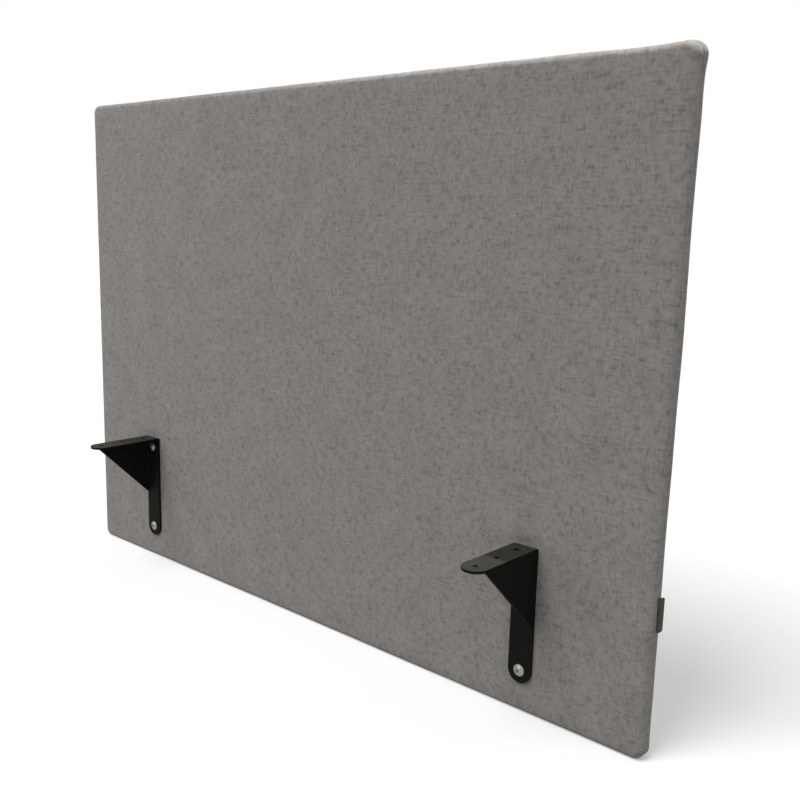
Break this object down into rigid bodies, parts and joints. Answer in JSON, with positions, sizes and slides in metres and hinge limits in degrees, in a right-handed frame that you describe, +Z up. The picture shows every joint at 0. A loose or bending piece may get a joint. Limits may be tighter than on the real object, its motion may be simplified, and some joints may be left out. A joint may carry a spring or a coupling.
{
  "type": "acoustic desk divider screen",
  "caption": "Padded, cloth-covered acoustic panel with soft rounded edges, hung from the edge of a desk on gusseted angle brackets screwed to its front.",
  "frame": {"origin": "centre of the rectangle of outer desk screw holes, at mid-length, level with the flat tops of the brackets' flanges, where the underside of the desk top lies", "axes": "+X along the screen towards the label's end, +Y from the desk through the panel to its back, +Z up out of the flanges into the desk top"},
  "size_m": [1.006, 0.129, 0.7],
  "materials": {
    "cloth": "tightly woven warm grey upholstery cloth",
    "padding": "thin white polyester wadding",
    "core": "grey sound-absorbing felt board",
    "timber": "planed softwood",
    "coat": "fine-textured black powder coat on steel",
    "screw_steel": "bright zinc plate",
    "insert_brass": "turned",
    "closing_strip": "black, matte",
    "staple_steel": "galvanised wire",
    "label": "dark folded woven band, bare"
  },
  "bodies": {
    "root": {"top_rail": "timber", "bottom_rail": "timber", "left_stile": "timber", "right_stile": "timber", "left_post": "timber", "right_post": "timber", "frame_dowels": "timber", "left_core": "core", "centre_core": "core", "right_core": "core", "front_padding": "padding", "back_padding": "padding", "front_cloth": "cloth", "back_cloth": "cloth", "closing_strip": "closing_strip", "closing_staples": "staple_steel", "side_label": "label", "left_bracket": "coat", "right_bracket": "coat", "left_upper_screw": "screw_steel", "left_lower_screw": "screw_steel", "right_upper_screw": "screw_steel", "right_lower_screw": "screw_steel", "left_upper_insert": "insert_brass", "left_lower_insert": "insert_brass", "right_upper_insert": "insert_brass", "right_lower_insert": "insert_brass"}
  },
  "joints": []
}
